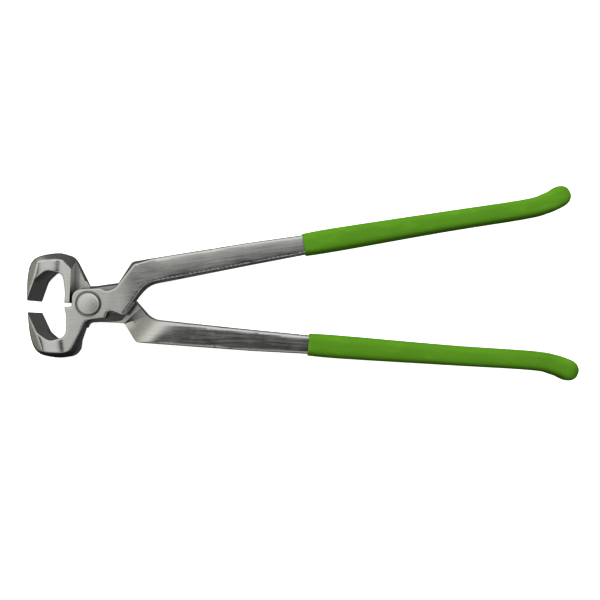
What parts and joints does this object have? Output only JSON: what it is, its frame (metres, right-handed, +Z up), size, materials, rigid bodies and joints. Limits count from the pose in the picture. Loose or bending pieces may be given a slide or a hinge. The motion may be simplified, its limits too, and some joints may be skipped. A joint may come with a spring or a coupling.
{
  "type": "hoof nipper",
  "caption": "Long-handled end-cutting nipper for trimming hooves: wide facing jaws, riveted lap joint, long tapering reins with dipped soft grips.",
  "frame": {"origin": "on the surface the tool lies on, under the middle of its bounding box", "axes": "+X from the jaws to the grips, +Y across the tool, +Z up through its thickness, along the rivet"},
  "size_m": [0.3529, 0.127, 0.0284],
  "materials": {
    "ground_steel": "satin ground forging, faint polishing lines",
    "rivet_steel": "satin, slightly brighter than the forgings",
    "green_grip": "smooth semi-gloss dipped vinyl"
  },
  "bodies": {
    "rear": {"rear_half": "ground_steel", "pivot_rivet": "rivet_steel", "rear_grip": "green_grip"},
    "front": {"front_half": "ground_steel", "front_grip": "green_grip"}
  },
  "joints": [
    {"name": "jaw_pivot", "type": "hinge", "parent": "rear", "child": "front", "pos_m": [-0.1388, 0, 0.0142], "axis": [0, 0, 1], "range_deg": [-10.6, 60]}
  ]
}
